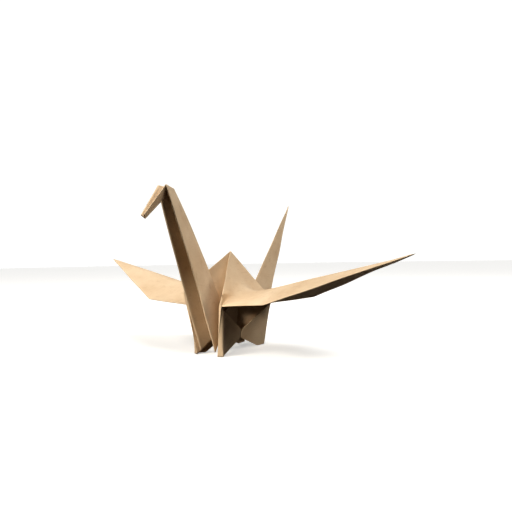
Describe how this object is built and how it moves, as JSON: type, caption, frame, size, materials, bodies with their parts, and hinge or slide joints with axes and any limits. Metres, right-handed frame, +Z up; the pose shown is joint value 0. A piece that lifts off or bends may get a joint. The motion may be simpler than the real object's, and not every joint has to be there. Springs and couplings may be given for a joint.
{
  "type": "paper crane",
  "caption": "Folded paper crane with flapping wings, a swinging neck and tail and a nodding head; it stands on four folded corners.",
  "frame": {"origin": "on the table, at the centre of the crane's footprint box", "axes": "crane faces -Y, tail to +Y, wings along X, +Z up"},
  "size_m": [0.1442, 0.092, 0.0607],
  "materials": {
    "outer_plies": "matt kraft paper, long fibres, light creases",
    "inner_plies": "matt kraft paper, the folded-in plies"
  },
  "bodies": {
    "body": {"flap_left_front": "outer_plies", "flap_left_rear": "outer_plies", "flap_right_front": "outer_plies", "flap_right_rear": "outer_plies", "gusset_left_front_lower": "inner_plies", "gusset_left_front_upper": "inner_plies", "gusset_left_rear_lower": "inner_plies", "gusset_left_rear_upper": "inner_plies", "gusset_right_front_lower": "inner_plies", "gusset_right_front_upper": "inner_plies", "gusset_right_rear_lower": "inner_plies", "gusset_right_rear_upper": "inner_plies", "hump_left_front_lower": "outer_plies", "hump_left_front_upper": "outer_plies", "hump_left_rear_lower": "outer_plies", "hump_left_rear_upper": "outer_plies", "hump_right_front_lower": "outer_plies", "hump_right_front_upper": "outer_plies", "hump_right_rear_lower": "outer_plies", "hump_right_rear_upper": "outer_plies", "side_left_front": "inner_plies", "side_left_rear": "inner_plies", "side_right_front": "inner_plies", "side_right_rear": "inner_plies"},
    "left_wing": {"wing_left_front_top": "outer_plies", "wing_left_front_tuck": "inner_plies", "wing_left_front_under": "inner_plies", "wing_left_rear_top": "outer_plies", "wing_left_rear_tuck": "inner_plies", "wing_left_rear_under": "inner_plies"},
    "right_wing": {"wing_right_front_top": "outer_plies", "wing_right_front_tuck": "inner_plies", "wing_right_front_under": "inner_plies", "wing_right_rear_top": "outer_plies", "wing_right_rear_tuck": "inner_plies", "wing_right_rear_under": "inner_plies"},
    "neck": {"neck_left_lining": "inner_plies", "neck_left_side": "outer_plies", "neck_right_lining": "inner_plies", "neck_right_side": "outer_plies"},
    "head": {"head_left_side": "outer_plies", "head_right_side": "outer_plies"},
    "tail": {"tail_left_lining": "inner_plies", "tail_left_side": "outer_plies", "tail_right_lining": "inner_plies", "tail_right_side": "outer_plies"}
  },
  "joints": [
    {"name": "left_wing_flap", "type": "hinge", "parent": "body", "child": "left_wing", "pos_m": [0.00773, 0, 0.01719], "axis": [0, -1, 0], "range_deg": [-30, 20]},
    {"name": "right_wing_flap", "type": "hinge", "parent": "body", "child": "right_wing", "pos_m": [-0.00773, 0, 0.01719], "axis": [0, 1, 0], "range_deg": [-30, 20]},
    {"name": "neck_swing", "type": "hinge", "parent": "body", "child": "neck", "pos_m": [0, -0.0085, 0.005], "axis": [1, 0, 0], "range_deg": [-10, 12]},
    {"name": "head_nod", "type": "hinge", "parent": "neck", "child": "head", "pos_m": [0, -0.0315, 0.06023], "axis": [1, 0, 0], "range_deg": [-12, 12]},
    {"name": "tail_swing", "type": "hinge", "parent": "body", "child": "tail", "pos_m": [0, 0.0085, 0.005], "axis": [1, 0, 0], "range_deg": [-12, 10]}
  ]
}
